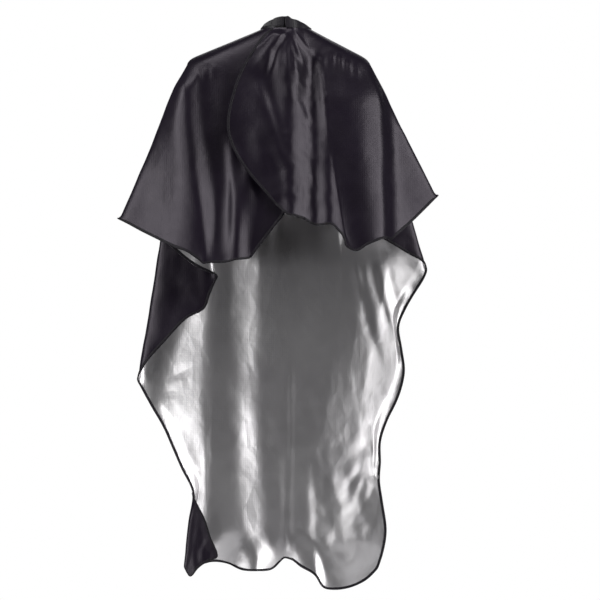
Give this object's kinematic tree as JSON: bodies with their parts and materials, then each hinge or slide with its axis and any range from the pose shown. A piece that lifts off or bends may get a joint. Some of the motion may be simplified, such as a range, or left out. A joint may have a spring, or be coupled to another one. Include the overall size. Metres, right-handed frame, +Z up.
{
  "type": "barber cape",
  "caption": "Barber cape hanging open at the front, black outside with a silver-coated inside, bound edges, overlapping slit and a neckband with a hook-and-loop tab.",
  "frame": {"origin": "centre of the neck opening, level with the neckline", "axes": "+Z up, -Y the slit side that the camera faces, +X to the viewer's right"},
  "size_m": [0.649, 0.2176, 1.1514],
  "materials": {
    "black_nylon": "semi-gloss woven nylon taffeta",
    "silver_coating": "satin silver coating",
    "edge_binding": "matt folded tape",
    "neckband_tape": "matt woven band",
    "hook_tape": "hook tape",
    "loop_tape": "loop tape"
  },
  "bodies": {
    "cape": {"cloth_front_left": "black_nylon", "lining_front_left": "silver_coating", "binding_front_left": "edge_binding", "cloth_left_pleat": "black_nylon", "lining_left_pleat": "silver_coating", "binding_left_pleat": "edge_binding", "cloth_drape_left": "black_nylon", "lining_drape_left": "silver_coating", "binding_drape_left": "edge_binding", "cloth_drape_mid_left": "black_nylon", "lining_drape_mid_left": "silver_coating", "binding_drape_mid_left": "edge_binding", "cloth_drape_mid_right": "black_nylon", "lining_drape_mid_right": "silver_coating", "binding_drape_mid_right": "edge_binding", "cloth_drape_right": "black_nylon", "lining_drape_right": "silver_coating", "binding_drape_right": "edge_binding", "cloth_right_pleat": "black_nylon", "lining_right_pleat": "silver_coating", "binding_right_pleat": "edge_binding", "cloth_front_right": "black_nylon", "lining_front_right": "silver_coating", "binding_front_right": "edge_binding", "cloth_corner_fold": "black_nylon", "lining_corner_fold": "silver_coating", "binding_corner_fold": "edge_binding", "neckband_ring": "neckband_tape", "loop_strip": "loop_tape"},
    "overlap": {"cloth_overlap": "black_nylon", "lining_overlap": "silver_coating", "binding_overlap_edge": "edge_binding", "binding_overlap_hem": "edge_binding", "neckband_overlap_end": "neckband_tape"},
    "underlap": {"cloth_underlap": "black_nylon", "lining_underlap": "silver_coating", "binding_underlap_edge": "edge_binding", "binding_underlap_hem": "edge_binding", "neckband_underlap_end": "neckband_tape"},
    "tab": {"closure_tab": "neckband_tape", "hook_patch": "hook_tape"}
  },
  "joints": [
    {"name": "overlap_hinge", "type": "hinge", "parent": "cape", "child": "overlap", "pos_m": [0.01401, -0.0643, 0.00042], "axis": [-0.0517, 0.1318, 0.9899], "range_deg": [0, 105]},
    {"name": "underlap_hinge", "type": "hinge", "parent": "cape", "child": "underlap", "pos_m": [-0.00692, -0.05765, 0.00026], "axis": [-0.1356, -0.0808, -0.9875], "range_deg": [0, 48]},
    {"name": "tab_hinge", "type": "hinge", "parent": "overlap", "child": "tab", "pos_m": [-0.00245, -0.06119, 0], "axis": [0, 0, 1], "range_deg": [0, 100]}
  ],
  "couplings": [
    {"joint": "underlap_hinge", "follows": "overlap_hinge", "ratio": 0.45}
  ]
}
